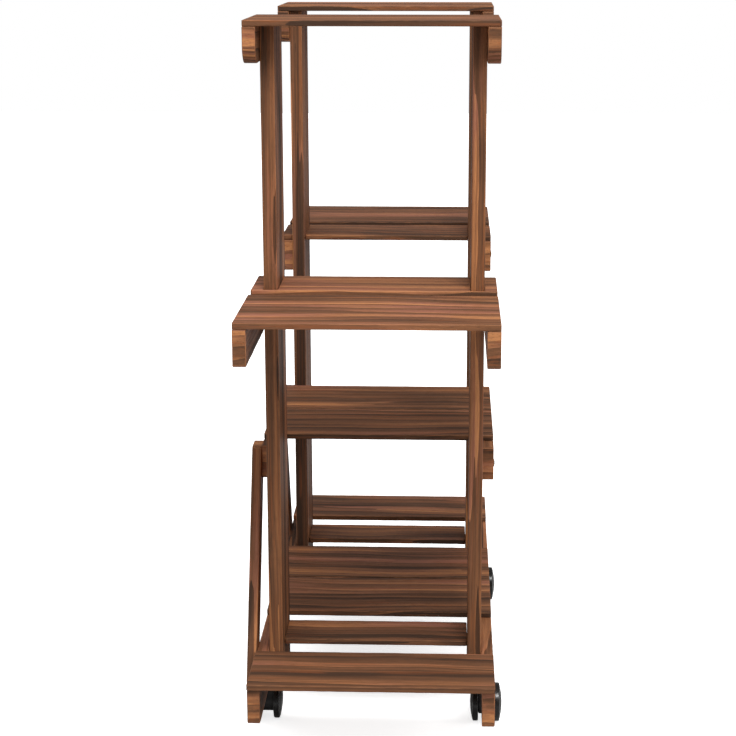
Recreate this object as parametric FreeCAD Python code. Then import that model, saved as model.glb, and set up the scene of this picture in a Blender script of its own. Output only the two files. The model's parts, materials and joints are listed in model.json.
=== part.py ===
import FreeCAD, Part
import math
import os

# Rolling plant stand of stained softwood: two pairs of flat posts carry two small top shelves, two
# cantilevered upper shelves, a middle shelf and a long bottom rack on four twin-wheel casters.
# Millimetres, Z up, origin on the floor under the middle of the stand. X runs along the stand,
# Y across it: +Y is the back, where the two slanted braces are.

Vector = FreeCAD.Vector

# ---- driving dimensions: the whole stand ---------------------------------------------------------
STAND_DEPTH = 240.0          # over the rails' outer faces, which is also every board's length
STAND_HEIGHT = 720.0         # floor to the top boards' upper faces
POST_PITCH = 301.5           # middle of the left posts to the middle of the right posts, along X
UPPER_TIER_TOP = 459.5       # floor to the upper shelves' upper faces
MIDDLE_TIER_TOP = 286.5      # floor to the middle shelf's upper face
UPPER_SHELF_REACH = 336.5    # middle of the stand to the upper shelves' free ends
BOTTOM_RAIL_REACH = 281.5    # middle of the stand to the bottom rails' ends

# ---- timber sections -----------------------------------------------------------------------------
BOARD_THICK = 5.5
RAIL_THICK = 12.5
RAIL_HIGH = 35.0
BOTTOM_RAIL_HIGH = 36.5
POST_WIDE = 75.5
POST_THICK = 13.5
BRACE_WIDE = 26.0
BRACE_THICK = 9.8
EDGE_BEVEL = 1.0             # arris planed off the long edges of posts, rails and braces
BOARD_EDGE_BEVEL = 0.7       # arris planed off the long upper and lower edges of the boards

# ---- top shelves ---------------------------------------------------------------------------------
TOP_BOARD_INSIDE = 9.3       # how far a top board reaches past its posts towards the middle
TOP_BOARD_OUTSIDE = 35.1     # how far it reaches past them towards the stand's end
TOP_BRACKET_ROUND = 17.0     # radius of a bracket's two lower corners

# ---- upper shelves -------------------------------------------------------------------------------
UPPER_RAIL_INSET = 3.0       # rail's inner end behind the post's inner edge
SLOTTED_BOARD_INSET = 6.5    # slotted board's inner edge behind the post's inner edge
SLOT_WEB = 5.0               # wood of the slotted board beyond the post
SLOT_CLEARANCE = 0.25        # slot to post, all round
UPPER_BOARD_GAP = 19.0       # between the slotted board and the wide outer board

# ---- middle shelf --------------------------------------------------------------------------------
MIDDLE_RAIL_LAP = 9.0        # how far the rail laps onto each post
MIDDLE_BOARD_GAP = 14.5      # board to the post's inner edge
BOARD_SEAM = 2.0             # between the two boards that meet in the middle

# ---- bottom rack ---------------------------------------------------------------------------------
END_BOARD_OVERHANG = 4.5     # end board past the rails' ends
END_BOARD_GAP = 16.5         # end board to the post's outer edge
POST_BOARD_INSET = 11.0      # narrow board's inner edge past the post's inner edge
POST_BOARD_WIDE = 50.0
POST_BOARD_CLEARANCE = 0.5   # narrow board's end to the post's inner face
CENTRE_BOARD_GAP = 14.0      # centre board to the post's inner edge
CLEAT_LONG = 24.0
CLEAT_WIDE = 10.0
CLEAT_HIGH = 5.0

# ---- back braces ---------------------------------------------------------------------------------
BRACE_TOP_INSET = 1.7        # brace's upper outer corner inside the middle rail's end
BRACE_TOP_DROP = 1.0         # brace's upper end below the middle rail's upper edge
BRACE_FOOT_REACH = 21.0      # brace's lower outer corner past the post's outer edge
BRACE_FOOT_RISE = 4.0        # brace's lower end above the bottom rail's lower edge
BRACE_CORNER_ROUND = 5.0

# ---- casters -------------------------------------------------------------------------------------
WHEEL_DIA = 39.2
WHEEL_DISC = 8.2             # thickness of one wheel disc at its middle
WHEEL_DOME = 2.6             # how far the disc's outer face bulges over its rim
WHEEL_TREAD_BEVEL = 0.9      # bevel between the tread and the domed face
WHEEL_CLEARANCE = 0.25       # disc to caster body
HOOD_WIDE = 15.8             # caster body between the two discs
HOOD_BELLY = 12.2            # radius of the caster body round the axle
HOOD_SHOULDER = 10.2         # half length of the swivel boss along X
HOOD_CHIN = 17.0             # height of the swivel boss's front face
HOOD_EDGE_BEVEL = 1.2
HOOD_TOP_GAP = 0.5           # caster body to the stem's flange
COWL_RISE = 3.0              # how far the cowl bulges over the straight line from belly to boss
CASTER_TRAIL = 14.0          # axle behind the swivel axis
CASTER_HEAD = 8.8            # top of the wheels to the underside of the rail
AXLE_DIA = 4.0
AXLE_CLEARANCE = 0.05        # radial, axle in the wheel's bore
AXLE_END_WALL = 2.2          # plastic left between the bore's end and the disc's outer face
AXLE_END_GAP = 0.4           # axle's end to the bore's end
STEM_PIN_DIA = 8.0
STEM_PIN_LONG = 21.0
STEM_CLEARANCE = 0.05        # radial, stem in the caster body's socket
STEM_END_GAP = 0.5           # stem's lower end to the socket's floor
STEM_FLANGE_DIA = 12.0
STEM_FLANGE_THICK = 2.6
STEM_SCREW_DIA = 6.0
STEM_SCREW_LONG = 24.0
STEM_BORE_SPARE = 1.0        # how much deeper the rail is bored than the stem's screw is long

# ---- worked-out places ---------------------------------------------------------------------------
RAIL_OUTER_Y = STAND_DEPTH / 2
RAIL_INNER_Y = RAIL_OUTER_Y - RAIL_THICK
RAIL_MIDDLE_Y = RAIL_OUTER_Y - RAIL_THICK / 2
POST_INNER_Y = RAIL_INNER_Y - POST_THICK
POST_MIDDLE_X = POST_PITCH / 2
POST_NEAR_X = POST_MIDDLE_X - POST_WIDE / 2
POST_FAR_X = POST_MIDDLE_X + POST_WIDE / 2
MIDDLE_RAIL_REACH = POST_NEAR_X + MIDDLE_RAIL_LAP
TOP_NEAR_X = POST_NEAR_X - TOP_BOARD_INSIDE
TOP_FAR_X = POST_FAR_X + TOP_BOARD_OUTSIDE

RACK_BOTTOM = WHEEL_DIA + CASTER_HEAD
RACK_RAIL_TOP = RACK_BOTTOM + BOTTOM_RAIL_HIGH
RACK_TOP = RACK_RAIL_TOP + BOARD_THICK
MIDDLE_RAIL_TOP = MIDDLE_TIER_TOP - BOARD_THICK
UPPER_RAIL_TOP = UPPER_TIER_TOP - BOARD_THICK
POST_TOP = STAND_HEIGHT - BOARD_THICK

WHEEL_RADIUS = WHEEL_DIA / 2
WHEEL_INNER = HOOD_WIDE / 2 + WHEEL_CLEARANCE
STEM_FLANGE_LOW = RACK_BOTTOM - STEM_FLANGE_THICK
HOOD_TOP = STEM_FLANGE_LOW - HOOD_TOP_GAP

SIDES = {"left": -1, "right": 1}
FACES = {"front": -1, "back": 1}
ALONG = Vector(1, 0, 0)
ACROSS = Vector(0, 1, 0)
UP = Vector(0, 0, 1)


# ---- helpers -------------------------------------------------------------------------------------
def block(x0, x1, y0, y1, z0, z1):
    """Sharp-edged block between two corners, given in any order."""
    low = Vector(min(x0, x1), min(y0, y1), min(z0, z1))
    return Part.makeBox(abs(x1 - x0), abs(y1 - y0), abs(z1 - z0), low)


def runs_along(edge, direction):
    """Whether a straight edge is parallel to a unit vector."""
    if not isinstance(edge.Curve, Part.Line):
        return False
    return abs(edge.tangentAt(edge.FirstParameter).dot(direction)) > 0.999


def timber(x0, x1, y0, y1, z0, z1, grain, bevel):
    """Planed piece of wood with its long edges, the ones along the grain, bevelled."""
    solid = block(x0, x1, y0, y1, z0, z1)
    return solid.makeChamfer(bevel, [edge for edge in solid.Edges if runs_along(edge, grain)])


# ---- posts and rails -----------------------------------------------------------------------------
def post(side, face):
    """Flat upright plank from the bottom rail's lower edge to the top board."""
    return timber(side * POST_NEAR_X, side * POST_FAR_X, face * POST_INNER_Y, face * RAIL_INNER_Y,
                  RACK_BOTTOM, POST_TOP, UP, EDGE_BEVEL)


def rail(x0, x1, z0, z1, face):
    """Rail along X that lies on the posts' outer faces."""
    return timber(x0, x1, face * RAIL_INNER_Y, face * RAIL_OUTER_Y, z0, z1, ALONG, EDGE_BEVEL)


def top_bracket(side, face):
    """Short rail under a top board, with both lower corners well rounded."""
    solid = block(side * TOP_NEAR_X, side * TOP_FAR_X, face * RAIL_INNER_Y, face * RAIL_OUTER_Y,
                  POST_TOP - RAIL_HIGH, POST_TOP)
    across = [edge for edge in solid.Edges if runs_along(edge, ACROSS)]
    low_corners = [edge for edge in across if edge.CenterOfMass.z < POST_TOP - RAIL_HIGH / 2]
    return solid.makeFillet(TOP_BRACKET_ROUND, low_corners)


def upper_rail(side, face):
    """Cantilever rail of an upper shelf, from behind the posts out to the shelf's free end."""
    return rail(side * (POST_NEAR_X + UPPER_RAIL_INSET), side * UPPER_SHELF_REACH,
                UPPER_RAIL_TOP - RAIL_HIGH, UPPER_RAIL_TOP, face)


def middle_rail(face):
    """Rail of the middle shelf, lapped onto both post pairs."""
    return rail(-MIDDLE_RAIL_REACH, MIDDLE_RAIL_REACH, MIDDLE_RAIL_TOP - RAIL_HIGH, MIDDLE_RAIL_TOP, face)


def bottom_rail(face):
    """Long rail of the bottom rack, bored from below for the two casters' stems."""
    solid = rail(-BOTTOM_RAIL_REACH, BOTTOM_RAIL_REACH, RACK_BOTTOM, RACK_RAIL_TOP, face)
    for side in SIDES.values():
        mouth = Vector(side * POST_MIDDLE_X, face * RAIL_MIDDLE_Y, RACK_BOTTOM)
        bore = Part.makeCylinder(STEM_SCREW_DIA / 2, STEM_SCREW_LONG + STEM_BORE_SPARE, mouth)
        solid = solid.cut(bore)
    return solid


# ---- boards --------------------------------------------------------------------------------------
def shelf_board(near, far, top):
    """Board laid across the rails, from one rail's outer face to the other's."""
    return timber(near, far, -RAIL_OUTER_Y, RAIL_OUTER_Y, top - BOARD_THICK, top, ACROSS, BOARD_EDGE_BEVEL)


def top_board(side):
    """Small shelf on the heads of one pair of posts."""
    return shelf_board(side * TOP_NEAR_X, side * TOP_FAR_X, STAND_HEIGHT)


def slotted_board(side):
    """Inner board of an upper shelf, with two slots that let it slide round the posts."""
    near = POST_NEAR_X + SLOTTED_BOARD_INSET
    solid = shelf_board(side * near, side * (POST_FAR_X + SLOT_WEB), UPPER_TIER_TOP)
    for face in FACES.values():
        slot = block(side * (near - 1), side * (POST_FAR_X + SLOT_CLEARANCE),
                     face * (POST_INNER_Y - SLOT_CLEARANCE), face * (RAIL_INNER_Y + SLOT_CLEARANCE),
                     UPPER_RAIL_TOP - 1, UPPER_TIER_TOP + 1)
        solid = solid.cut(slot)
    return solid


def upper_board(side):
    """Wide outer board of an upper shelf."""
    near = POST_FAR_X + SLOT_WEB + UPPER_BOARD_GAP
    return shelf_board(side * near, side * UPPER_SHELF_REACH, UPPER_TIER_TOP)


def middle_board(side):
    """One of the two boards that meet in the middle of the middle shelf."""
    return shelf_board(side * BOARD_SEAM / 2, side * (POST_NEAR_X - MIDDLE_BOARD_GAP), MIDDLE_TIER_TOP)


def bottom_end_board(side):
    """Board at an end of the bottom rack."""
    near = POST_FAR_X + END_BOARD_GAP
    return shelf_board(side * near, side * (BOTTOM_RAIL_REACH + END_BOARD_OVERHANG), RACK_TOP)


def bottom_centre_board(side):
    """One of the two boards that meet in the middle of the bottom rack."""
    return shelf_board(side * BOARD_SEAM / 2, side * (POST_NEAR_X - CENTRE_BOARD_GAP), RACK_TOP)


def bottom_post_board(side):
    """Narrow board of the bottom rack that fits between the two posts of a pair."""
    near = POST_NEAR_X + POST_BOARD_INSET
    reach = POST_INNER_Y - POST_BOARD_CLEARANCE
    return timber(side * near, side * (near + POST_BOARD_WIDE), -reach, reach, RACK_RAIL_TOP, RACK_TOP,
                  ACROSS, BOARD_EDGE_BEVEL)


def cleat(side, face):
    """Small block on a post's inner face that carries an end of a narrow board."""
    middle = POST_NEAR_X + POST_BOARD_INSET + POST_BOARD_WIDE / 2
    return timber(side * (middle - CLEAT_LONG / 2), side * (middle + CLEAT_LONG / 2),
                  face * (POST_INNER_Y - CLEAT_WIDE), face * POST_INNER_Y,
                  RACK_RAIL_TOP - CLEAT_HIGH, RACK_RAIL_TOP, ALONG, BOARD_EDGE_BEVEL)


def brace(side):
    """Slanted lath on the back, from the middle rail's end down to the bottom rail, ends cut level."""
    top_x = MIDDLE_RAIL_REACH - BRACE_TOP_INSET
    top_z = MIDDLE_RAIL_TOP - BRACE_TOP_DROP
    foot_x = POST_FAR_X + BRACE_FOOT_REACH
    foot_z = RACK_BOTTOM + BRACE_FOOT_RISE
    lean = math.atan2(foot_x - top_x, top_z - foot_z)
    level_width = BRACE_WIDE / math.cos(lean)
    corners = [
        Vector(side * foot_x, RAIL_OUTER_Y, foot_z),
        Vector(side * top_x, RAIL_OUTER_Y, top_z),
        Vector(side * (top_x - level_width), RAIL_OUTER_Y, top_z),
        Vector(side * (foot_x - level_width), RAIL_OUTER_Y, foot_z),
    ]
    outline = Part.makePolygon(corners + corners[:1])
    solid = Part.Face(outline).extrude(ACROSS * BRACE_THICK)
    return solid.makeFillet(BRACE_CORNER_ROUND, [edge for edge in solid.Edges if runs_along(edge, ACROSS)])


# ---- casters, modelled under a corner with the swivel axis on Z and the wheels trailing to +X ------
def wheel():
    """Wheel disc on an axle along +Y, from its flat inner face at Y 0 to its domed outer face.

    The half section is drawn with X as the radius and turned round Y. The dome is part of a ball whose
    middle lies on the axle.
    """
    bore = AXLE_DIA / 2 + AXLE_CLEARANCE
    bore_end = WHEEL_DISC - AXLE_END_WALL
    dome_rim = WHEEL_RADIUS - WHEEL_TREAD_BEVEL
    shoulder = WHEEL_DISC - WHEEL_DOME
    ball = (dome_rim ** 2 + WHEEL_DOME ** 2) / (2 * WHEEL_DOME)
    half_way = math.asin(dome_rim / ball) / 2
    dome_middle = Vector(ball * math.sin(half_way), WHEEL_DISC - ball + ball * math.cos(half_way), 0)
    outline = [
        Vector(0, WHEEL_DISC, 0),
        Vector(0, bore_end, 0),
        Vector(bore, bore_end, 0),
        Vector(bore, 0, 0),
        Vector(WHEEL_RADIUS, 0, 0),
        Vector(WHEEL_RADIUS, shoulder - WHEEL_TREAD_BEVEL, 0),
        Vector(dome_rim, shoulder, 0),
    ]
    edges = list(Part.makePolygon(outline).Edges)
    edges.append(Part.Arc(outline[-1], dome_middle, outline[0]).toShape())
    section = Part.Face(Part.Wire(edges))
    return Part.makeSolid(section.revolve(Vector(0, 0, 0), ACROSS, 360))


def belly_point(angle):
    """Point on the caster body's round belly at an angle, in degrees, from the +X direction."""
    turn = math.radians(angle)
    return Vector(CASTER_TRAIL + HOOD_BELLY * math.cos(turn), -HOOD_WIDE / 2,
                  WHEEL_RADIUS + HOOD_BELLY * math.sin(turn))


def caster_hood():
    """Caster body between the discs: a belly round the axle, a cowl over it and the swivel boss."""
    edge_y = -HOOD_WIDE / 2
    start = belly_point(205)
    end = belly_point(35)
    crest = Vector(HOOD_SHOULDER, edge_y, HOOD_TOP)
    brow = Vector(-HOOD_SHOULDER, edge_y, HOOD_TOP)
    chin = Vector(-HOOD_SHOULDER, edge_y, HOOD_TOP - HOOD_CHIN)
    cowl = (end + crest) * 0.5 + Vector(COWL_RISE * 0.8, 0, COWL_RISE * 0.6)
    outline = [
        Part.Arc(start, belly_point(270), end).toShape(),
        Part.Arc(end, cowl, crest).toShape(),
        Part.makeLine(crest, brow),
        Part.makeLine(brow, chin),
        Part.makeLine(chin, start),
    ]
    body = Part.Face(Part.Wire(outline)).extrude(ACROSS * HOOD_WIDE)
    rims = [edge for edge in body.Edges if edge.BoundBox.YLength < 0.01]
    body = body.makeChamfer(HOOD_EDGE_BEVEL, rims)
    socket_floor = STEM_FLANGE_LOW - STEM_PIN_LONG - STEM_END_GAP
    socket = Part.makeCylinder(STEM_PIN_DIA / 2 + STEM_CLEARANCE, HOOD_TOP - socket_floor + 1,
                               Vector(0, 0, socket_floor))
    axle_bore = Part.makeCylinder(AXLE_DIA / 2, HOOD_WIDE + 2, Vector(CASTER_TRAIL, edge_y - 1, WHEEL_RADIUS), ACROSS)
    return body.cut(socket).cut(axle_bore)


def caster_axle():
    """Steel pin pressed through the caster body, both its ends in the wheels' bores."""
    reach = WHEEL_INNER + WHEEL_DISC - AXLE_END_WALL - AXLE_END_GAP
    return Part.makeCylinder(AXLE_DIA / 2, 2 * reach, Vector(CASTER_TRAIL, -reach, WHEEL_RADIUS), ACROSS)


def caster_stem():
    """Steel stem, turned in one piece: screw up into the rail, round flange, plain pin in the body."""
    pin = STEM_PIN_DIA / 2
    flange = STEM_FLANGE_DIA / 2
    thread = STEM_SCREW_DIA / 2
    pin_low = STEM_FLANGE_LOW - STEM_PIN_LONG
    tip = RACK_BOTTOM + STEM_SCREW_LONG
    outline = [
        Vector(0, 0, pin_low),
        Vector(pin, 0, pin_low),
        Vector(pin, 0, STEM_FLANGE_LOW),
        Vector(flange, 0, STEM_FLANGE_LOW),
        Vector(flange, 0, RACK_BOTTOM),
        Vector(thread, 0, RACK_BOTTOM),
        Vector(thread, 0, tip),
        Vector(0, 0, tip),
    ]
    section = Part.Face(Part.makePolygon(outline + outline[:1]))
    return Part.makeSolid(section.revolve(Vector(0, 0, 0), UP, 360))


def caster_wheel(direction):
    """A wheel disc on the +Y or -Y side of the caster body, its domed face turned away from it."""
    disc = wheel()
    if direction < 0:
        disc.rotate(Vector(0, 0, 0), UP, 180)
    disc.translate(Vector(CASTER_TRAIL, direction * WHEEL_INNER, WHEEL_RADIUS))
    return disc


def caster_pieces(side, face):
    """The pieces of one caster, set under its corner with the wheels trailing to the stand's end.

    Turning a caster round for the left end swaps the sides of its two discs.
    """
    outward = side * face
    pieces = {
        "stem": caster_stem(),
        "hood": caster_hood(),
        "axle": caster_axle(),
        "outer_wheel": caster_wheel(outward),
        "inner_wheel": caster_wheel(-outward),
    }
    for piece in pieces.values():
        if side < 0:
            piece.rotate(Vector(0, 0, 0), UP, 180)
        piece.translate(Vector(side * POST_MIDDLE_X, face * RAIL_MIDDLE_Y, 0))
    return pieces


# ---- the assembly --------------------------------------------------------------------------------
def build_nodes():
    """Every node's name and shape."""
    nodes = {}
    for side_name, side in SIDES.items():
        nodes["top_board_" + side_name] = top_board(side)
        nodes["upper_board_" + side_name] = upper_board(side)
        nodes["upper_slotted_board_" + side_name] = slotted_board(side)
        nodes["middle_board_" + side_name] = middle_board(side)
        nodes["bottom_end_board_" + side_name] = bottom_end_board(side)
        nodes["bottom_post_board_" + side_name] = bottom_post_board(side)
        nodes["bottom_centre_board_" + side_name] = bottom_centre_board(side)
        nodes["brace_" + side_name] = brace(side)
        for face_name, face in FACES.items():
            place = side_name + "_" + face_name
            nodes["post_" + place] = post(side, face)
            nodes["top_bracket_" + place] = top_bracket(side, face)
            nodes["upper_rail_" + place] = upper_rail(side, face)
            for piece_name, piece in caster_pieces(side, face).items():
                nodes["caster_" + piece_name + "_" + place] = piece
    for face_name, face in FACES.items():
        nodes["middle_rail_" + face_name] = middle_rail(face)
        nodes["bottom_rail_" + face_name] = bottom_rail(face)
    cleats = [cleat(side, face) for side in SIDES.values() for face in FACES.values()]
    nodes["board_cleats"] = Part.Compound(cleats)
    return nodes


def main():
    """Write one STEP file for each node."""
    os.makedirs("parts", exist_ok=True)
    for name, shape in build_nodes().items():
        shape.exportStep("parts/" + name + ".step")
        print(name, len(shape.Solids), round(shape.Volume, 1), shape.isValid())


main()
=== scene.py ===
"""Flower cart stand: its finishes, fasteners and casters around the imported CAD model, and a plain studio.

Everything is in metres in the stand's own frame: Z up, X along the stand's length, and Y from the front
to the back, which carries the two slanted braces. Each wooden piece is a bar cut to its CAD node's size
with its edges eased by hand, and each round part is a profile turned about its axis.
"""

from __future__ import annotations

import json
import logging
import math
from dataclasses import dataclass, field
from enum import Enum
from typing import Any, Sequence

import bpy
import numpy as np
from mathutils import Matrix, Vector

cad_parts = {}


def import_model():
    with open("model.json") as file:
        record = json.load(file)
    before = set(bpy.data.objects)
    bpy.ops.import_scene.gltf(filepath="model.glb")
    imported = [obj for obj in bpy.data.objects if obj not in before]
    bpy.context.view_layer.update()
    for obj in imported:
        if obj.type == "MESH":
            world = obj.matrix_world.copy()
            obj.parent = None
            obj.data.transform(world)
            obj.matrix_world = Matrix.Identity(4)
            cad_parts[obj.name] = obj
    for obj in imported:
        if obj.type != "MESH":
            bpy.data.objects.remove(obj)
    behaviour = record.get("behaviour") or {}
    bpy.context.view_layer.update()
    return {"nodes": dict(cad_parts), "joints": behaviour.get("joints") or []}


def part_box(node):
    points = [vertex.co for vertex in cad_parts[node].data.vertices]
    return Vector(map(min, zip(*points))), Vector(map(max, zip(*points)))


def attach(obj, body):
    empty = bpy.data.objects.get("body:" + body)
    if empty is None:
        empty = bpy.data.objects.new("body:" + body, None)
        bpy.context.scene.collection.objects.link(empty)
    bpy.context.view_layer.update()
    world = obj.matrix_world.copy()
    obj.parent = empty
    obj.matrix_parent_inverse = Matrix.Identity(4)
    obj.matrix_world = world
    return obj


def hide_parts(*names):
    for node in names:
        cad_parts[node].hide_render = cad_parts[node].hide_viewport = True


LOG = logging.getLogger("flower_cart_stand")
MM = 0.001
SIDES = {"left": -1, "right": 1}
FACES = {"front": -1, "back": 1}


# ---- shapes --------------------------------------------------------------------------------------
@dataclass
class Solid:
    """A closed surface: its points in metres, its faces as point numbers, and named values at its points."""

    points: np.ndarray
    faces: list[list[int]]
    values: dict[str, np.ndarray] = field(default_factory=dict)

    def joined(self, other: Solid) -> Solid:
        """This solid and another as one, whose point numbers follow on from this one's."""
        shift = len(self.points)
        moved = [[number + shift for number in face] for face in other.faces]
        values = {key: np.concatenate([self.values[key], other.values[key]]) for key in self.values}
        return Solid(np.concatenate([self.points, other.points]), self.faces + moved, values)

    def piece(self, name: str) -> bpy.types.Object:
        """Makes the Blender object, smooth shaded, with the values as point attributes.

        Args:
            name: the piece's plain name.

        Returns:
            The linked object, at the origin, with its place in its mesh.
        """
        mesh = bpy.data.meshes.new(name)
        mesh.from_pydata(self.points.tolist(), [], self.faces)
        for key, value in self.values.items():
            is_vector = value.ndim == 2
            attribute = mesh.attributes.new(key, "FLOAT_VECTOR" if is_vector else "FLOAT", "POINT")
            attribute.data.foreach_set("vector" if is_vector else "value", value.astype(np.float32).ravel())
        mesh.shade_smooth()
        mesh.update()
        made = bpy.data.objects.new(name, mesh)
        bpy.context.scene.collection.objects.link(made)
        return made


def arc(centre: Sequence[float], radius: float, start: float, end: float, count: int) -> np.ndarray:
    """Points of a round arc: centre + radius * (cos, sin) at even angles from start to end.

    Args:
        centre: the arc's middle.
        radius: its radius.
        start: first angle in degrees.
        end: last angle in degrees.
        count: how many points, both ends among them.

    Returns:
        Points (count, 2).
    """
    angle = np.radians(np.linspace(start, end, count))
    return np.asarray(centre) + radius * np.stack([np.cos(angle), np.sin(angle)], 1)


def bowed_line(start: np.ndarray, end: np.ndarray, rise: np.ndarray, count: int) -> np.ndarray:
    """Points of a shallow bow: start + t * (end - start) + 4 t (1 - t) * rise, with t from 0 to 1.

    Args:
        start: first end.
        end: other end.
        rise: how far the bow's middle stands off the straight line.
        count: how many points, both ends among them.

    Returns:
        Points (count, 2).
    """
    t = np.linspace(0.0, 1.0, count)[:, None]
    return start + t * (end - start) + 4 * t * (1 - t) * rise


def run(start: np.ndarray, end: np.ndarray, step: float, guard: float) -> np.ndarray:
    """Points on a straight run at even steps, with one more a guard's length from each end.

    Args:
        start: first end, which is left out of the result.
        end: last end, which is left out too.
        step: the longest distance between two points.
        guard: distance of the guard points, which keep smooth shading flat between the ends.

    Returns:
        Points (n, 2), none at all where the run is shorter than three guards.
    """
    length = float(np.hypot(*(end - start)))
    if length < 3 * guard:
        return np.zeros((0, 2))
    cuts = max(1, math.ceil((length - 2 * guard) / step))
    at = guard + (length - 2 * guard) * np.linspace(0.0, 1.0, cuts + 1)
    return start + (end - start) * (at / length)[:, None]


def rounded_path(corners: np.ndarray, radii: Sequence[float], closed: bool,
                 step: float, guard: float, facets: int) -> np.ndarray:
    """Path through corners, each replaced by an arc that touches both its runs.

    An arc of radius r at a corner whose two runs are 2h apart in angle begins r / tan(h) from the corner,
    and its middle lies on the bisector r / sin(h) from it.

    Args:
        corners: points (n, 2) in order.
        radii: a radius for each corner, 0 for a corner that stays.
        closed: whether the path returns to its first corner.
        step: the longest distance between points on a straight run.
        guard: distance of the extra point beside each arc.
        facets: parts of an arc.

    Returns:
        Points (m, 2), without the first one again at the end.
    """
    count = len(corners)
    bends = []
    for index, (corner, radius) in enumerate(zip(corners, radii)):
        is_end = not closed and index in (0, count - 1)
        if radius <= 0 or is_end:
            bends.append(np.array([corner]))
            continue
        back = corners[index - 1] - corner
        ahead = corners[(index + 1) % count] - corner
        back = back / np.hypot(*back)
        ahead = ahead / np.hypot(*ahead)
        half = 0.5 * math.acos(float(np.clip(back @ ahead, -1, 1)))
        reach = radius / math.tan(half)
        bisector = (back + ahead) / np.hypot(*(back + ahead))
        middle = corner + bisector * radius / math.sin(half)
        first = corner + back * reach - middle
        last = corner + ahead * reach - middle
        sweep = math.atan2(first[0] * last[1] - first[1] * last[0], float(first @ last))
        angle = math.atan2(first[1], first[0]) + sweep * np.linspace(0.0, 1.0, facets + 1)
        bends.append(middle + radius * np.stack([np.cos(angle), np.sin(angle)], 1))
    parts = []
    for index, bend in enumerate(bends):
        parts.append(bend)
        if closed or index < count - 1:
            parts.append(run(bend[-1], bends[(index + 1) % count][0], step, guard))
    return np.concatenate(parts)


def grid_faces(rings: int, around: int) -> list[list[int]]:
    """Quads between neighbouring closed rings: (k, i), (k, i + 1), (k + 1, i + 1), (k + 1, i)."""
    k, i = np.meshgrid(np.arange(rings - 1), np.arange(around), indexing="ij")
    after = (i + 1) % around
    quads = [k * around + i, k * around + after, (k + 1) * around + after, (k + 1) * around + i]
    return np.stack(quads, -1).reshape(-1, 4).tolist()


def wavering(along: np.ndarray, total: float, rng: np.random.Generator) -> np.ndarray:
    """Smooth hand-made unevenness round a closed edge, between about -1 and 1.

    It is a sum of cosines with whole numbers of waves round the edge, 12 to 90 mm long.

    Args:
        along: distance of each point round the edge.
        total: the edge's length.
        rng: source of the waves' phases.

    Returns:
        One value for each point.
    """
    shortest, longest, waves = 0.012, 0.09, 9
    count = np.round(total / np.geomspace(longest, shortest, waves))
    phase = rng.uniform(0, 2 * math.pi, waves)
    sum_of_waves = np.cos(2 * math.pi * np.outer(along / total, count) + phase).sum(1)
    return np.clip(sum_of_waves / math.sqrt(waves), -1, 1)


class Lay(Enum):
    """How a piece lies: which of X, Y and Z its length, its width and its thickness follow."""

    BOARD = (1, 0, 2)
    RAIL = (0, 2, 1)
    POST = (2, 0, 1)
    CLEAT = (0, 1, 2)


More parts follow.
